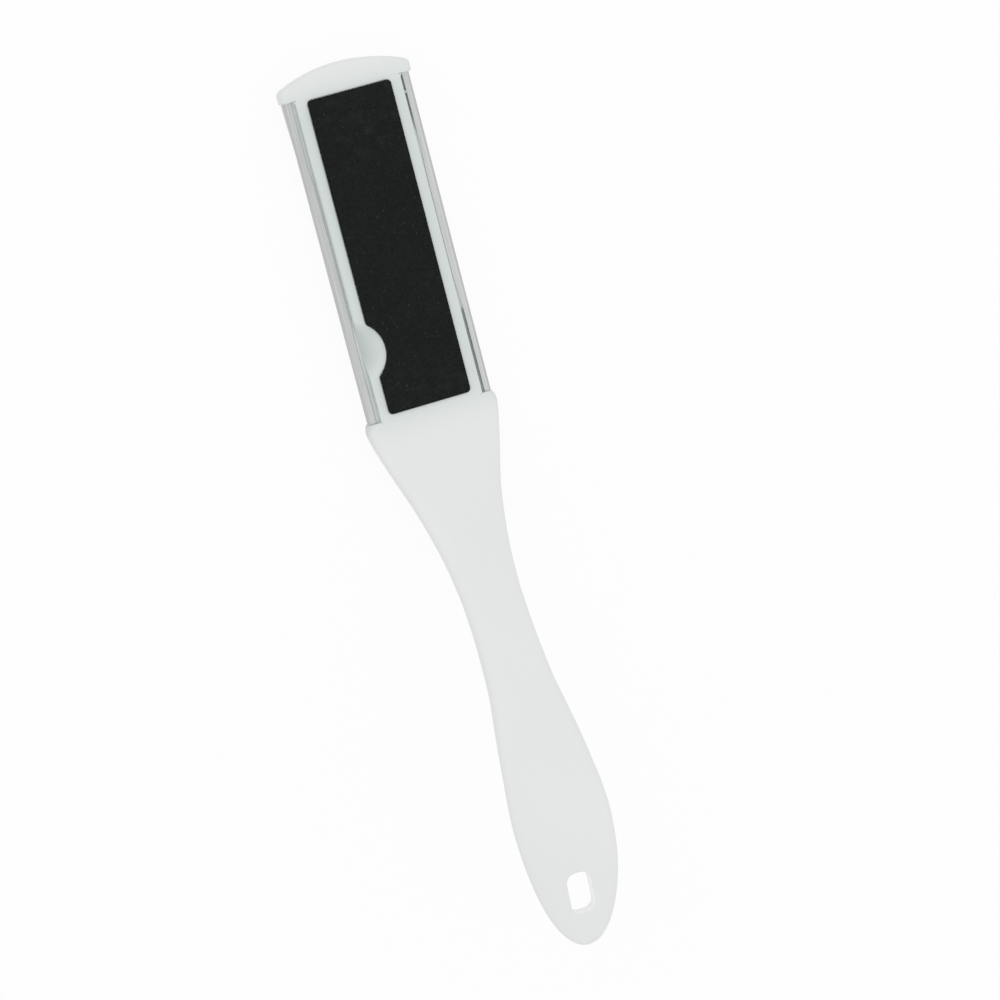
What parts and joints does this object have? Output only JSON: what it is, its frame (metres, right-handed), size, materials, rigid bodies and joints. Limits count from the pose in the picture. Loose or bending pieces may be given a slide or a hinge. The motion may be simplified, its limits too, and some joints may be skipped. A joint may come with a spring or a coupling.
{
  "type": "foot file",
  "caption": "Two-sided foot file: moulded head and bowed handle with a hanging hole, an abrasive sheet on the front and a perforated steel rasp sheet round the back.",
  "frame": {"origin": "under the middle of the whole file, at the height of the rasp teeth's tips, which is what it rests on", "axes": "+Y along the file from the tail to the cap, +Z out of the abrasive side, +X to the right seen from the front with the cap up"},
  "size_m": [0.038, 0.2522, 0.0392],
  "materials": {
    "white_plastic": "satin",
    "rasp_steel": "satin",
    "abrasive": "matte",
    "adhesive": "matte"
  },
  "bodies": {
    "root": {"handle_body": "white_plastic", "rasp_sheet": "rasp_steel", "abrasive_sheet": "abrasive", "adhesive_film": "adhesive"}
  },
  "joints": []
}
